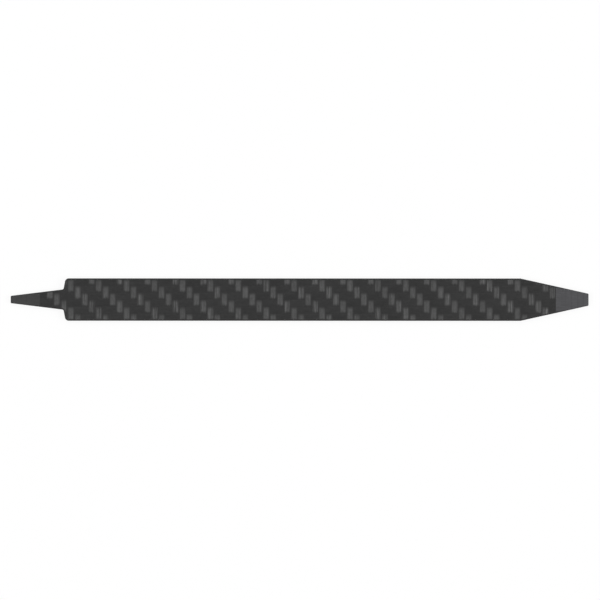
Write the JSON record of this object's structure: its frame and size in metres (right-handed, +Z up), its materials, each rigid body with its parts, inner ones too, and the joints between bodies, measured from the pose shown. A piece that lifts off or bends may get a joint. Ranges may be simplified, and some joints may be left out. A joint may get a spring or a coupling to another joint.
{
  "type": "spudger",
  "caption": "Flat double-ended spudger cut from a carbon-fibre twill laminate, with a ground fine blade at one end and a ground chisel blade at the other.",
  "frame": {"origin": "centre of the underside", "axes": "+X along the bar from the fine blade to the chisel blade, +Y across the bar, +Z up through its thickness"},
  "size_m": [0.165, 0.012, 0.002],
  "materials": {
    "twill_skin": "cured 2x2 twill of carbon tows, satin resin surface, ground bevels and chamfers matte",
    "core_ply_lengthwise": "unidirectional carbon fibre in epoxy with the fibres along the bar, cut and ground matte",
    "core_ply_crosswise": "unidirectional carbon fibre in epoxy with the fibres across the bar, cut and ground matte"
  },
  "bodies": {
    "root": {"twill_skin_bottom": "twill_skin", "core_ply_01_lengthwise": "core_ply_lengthwise", "core_ply_02_crosswise": "core_ply_crosswise", "core_ply_03_lengthwise": "core_ply_lengthwise", "core_ply_04_crosswise": "core_ply_crosswise", "core_ply_05_lengthwise": "core_ply_lengthwise", "core_ply_06_lengthwise": "core_ply_lengthwise", "core_ply_07_crosswise": "core_ply_crosswise", "core_ply_08_lengthwise": "core_ply_lengthwise", "core_ply_09_crosswise": "core_ply_crosswise", "core_ply_10_lengthwise": "core_ply_lengthwise", "twill_skin_top": "twill_skin"}
  },
  "joints": []
}
